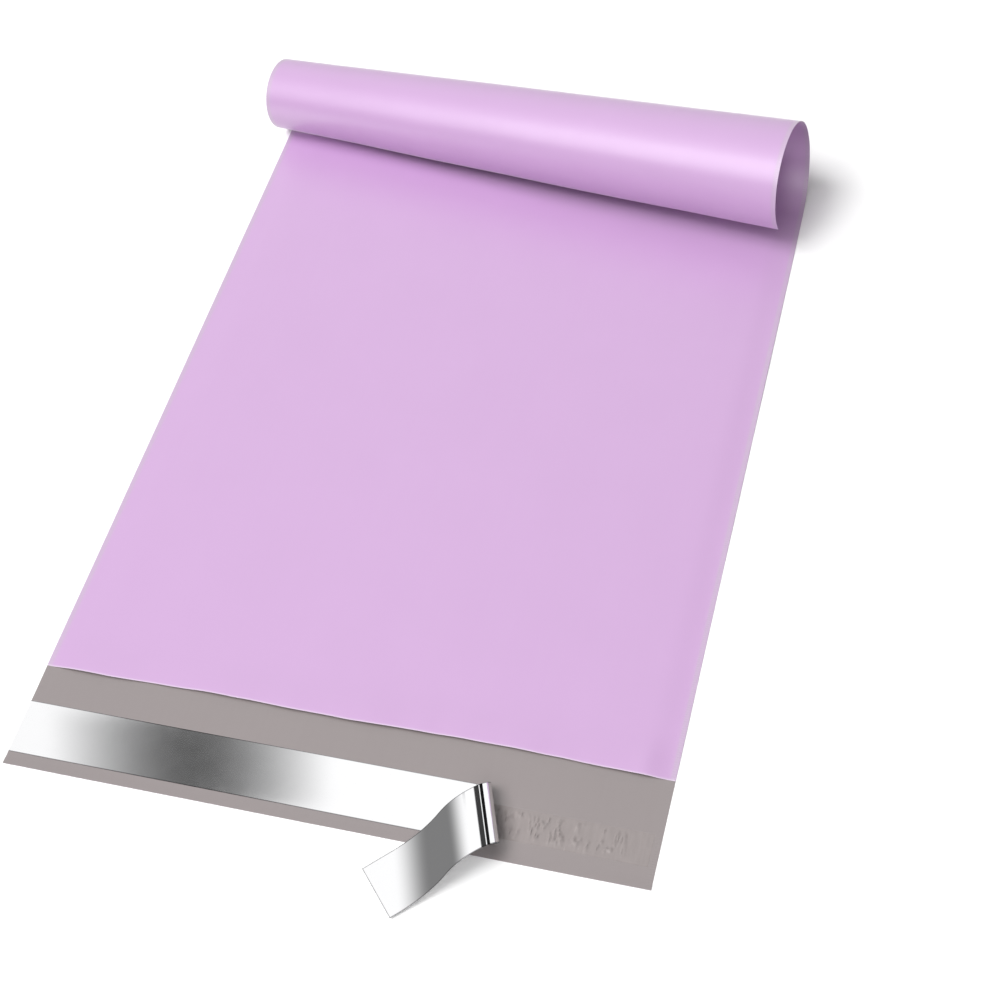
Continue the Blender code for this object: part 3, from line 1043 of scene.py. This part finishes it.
def build_floor(size, drop, colour):
    """White paper sweep. The camera and mirrors see it a little lifted, so it reads as white."""
    bm = bmesh.new()
    bmesh.ops.create_grid(bm, x_segments=2, y_segments=2, size=size / 2)
    bmesh.ops.translate(bm, verts=bm.verts, vec=(0, 0, -drop))
    mesh = mesh_from("paper_sweep", bm)
    material = bpy.data.materials.new("matt_paper")
    material.use_nodes = True
    tree = material.node_tree
    tree.nodes.clear()
    paper = add_node(tree, "ShaderNodeBsdfDiffuse", {"Color": (*colour, 1)}).outputs[0]
    glow = add_node(tree, "ShaderNodeEmission", {"Color": WHITE, "Strength": FLOOR_GLOW}).outputs[0]
    lifted = add_node(tree, "ShaderNodeAddShader", {0: paper, 1: glow}).outputs[0]
    ray = tree.nodes.new("ShaderNodeLightPath").outputs
    either = math_node(tree, "MAXIMUM", ray["Is Camera Ray"], ray["Is Glossy Ray"])
    seen = mixed_shader(tree, either, paper, lifted)
    add_node(tree, "ShaderNodeOutputMaterial", {"Surface": seen})
    mesh.materials.append(material)
    new_object("paper_sweep", mesh)


def build_softbox(name, direction, size, power):
    """A large soft lamp that looks at the middle of the bag."""
    light = bpy.data.lights.new(name, "AREA")
    light.shape = "RECTANGLE"
    light.size, light.size_y = size
    light.energy = power
    item = new_object(name, light)
    target = Vector((0, (BAG_LOW.y + BAG_HIGH.y) / 2, 0))
    item.location = target + direction * SOFTBOX_DISTANCE
    item.rotation_euler = (-direction).to_track_quat("-Z", "Y").to_euler()
    return item


def build_camera(lens):
    """A camera at the photo's place, turned by its azimuth, its dip below level and its roll."""
    forward = direction_to(CAMERA_AZIMUTH, -CAMERA_DIP)
    level = direction_to(CAMERA_AZIMUTH + 90, 0)
    above = level.cross(forward)
    roll = math.radians(CAMERA_ROLL)
    right = level * math.cos(roll) + above * math.sin(roll)
    up = above * math.cos(roll) - level * math.sin(roll)
    camera = bpy.data.cameras.new("photo_camera")
    camera.lens = lens
    camera.sensor_width = 36
    camera.clip_start = 0.01
    item = new_object("photo_camera", camera)
    turn = Matrix((right, up, -forward)).transposed().to_4x4()
    item.matrix_world = Matrix.Translation(CAMERA_PLACE) @ turn
    bpy.context.scene.camera = item


class MAILER_OT_stage(bpy.types.Operator):
    """Set up the floor, the light and the camera"""

    bl_idname = "mailer.stage"
    bl_label = "Stage"

    def execute(self, context):
        studio = context.scene.mailer_studio
        context.scene.view_settings.view_transform = "Standard"
        build_room(studio.ambient)
        build_floor(studio.floor_size, studio.floor_drop, context.scene.mailer_colours.floor)
        # The mirror liner faces the overhead softbox, and in the photo it shows only a plain room
        key = build_softbox("overhead_softbox", KEY_DIRECTION, KEY_SIZE, studio.key_power)
        key.visible_glossy = False
        # The front softbox lays the wide soft highlight along the curl
        build_softbox("front_softbox", FRONT_DIRECTION, FRONT_SIZE, studio.front_power)
        build_camera(studio.lens)
        return {"FINISHED"}


class MAILER_PT_panel(bpy.types.Panel):
    """Lists the bag's pieces and sizes in the sidebar"""

    bl_label = "Poly Mailer Bag"
    bl_idname = "MAILER_PT_panel"
    bl_space_type = "VIEW_3D"
    bl_region_type = "UI"
    bl_category = "Mailer"

    def draw(self, context):
        scene = context.scene
        for operator, group in (
            ("mailer.film", scene.mailer_film),
            ("mailer.adhesive", scene.mailer_glue),
            ("mailer.liner", scene.mailer_liner),
            ("mailer.stage", scene.mailer_studio),
        ):
            box = self.layout.box()
            box.operator(operator)
            for name in group.__annotations__:
                box.prop(group, name)
        for name in scene.mailer_colours.__annotations__:
            self.layout.prop(scene.mailer_colours, name)


GROUPS = {
    "mailer_film": FilmSizes,
    "mailer_liner": LinerSizes,
    "mailer_glue": GlueSizes,
    "mailer_colours": FinishColours,
    "mailer_studio": StudioSettings,
}
OPERATORS = (MAILER_OT_film, MAILER_OT_adhesive, MAILER_OT_liner, MAILER_OT_stage)


def register():
    for item in (*GROUPS.values(), *OPERATORS, MAILER_PT_panel):
        bpy.utils.register_class(item)
    for name, group in GROUPS.items():
        setattr(bpy.types.Scene, name, PointerProperty(type=group))


def unregister():
    for name in GROUPS:
        delattr(bpy.types.Scene, name)
    for item in reversed((*GROUPS.values(), *OPERATORS, MAILER_PT_panel)):
        bpy.utils.unregister_class(item)


def main():
    register()
    bpy.ops.mailer.film()
    bpy.ops.mailer.adhesive()
    bpy.ops.mailer.liner()
    bpy.ops.mailer.stage()


if __name__ == "__main__":
    main()
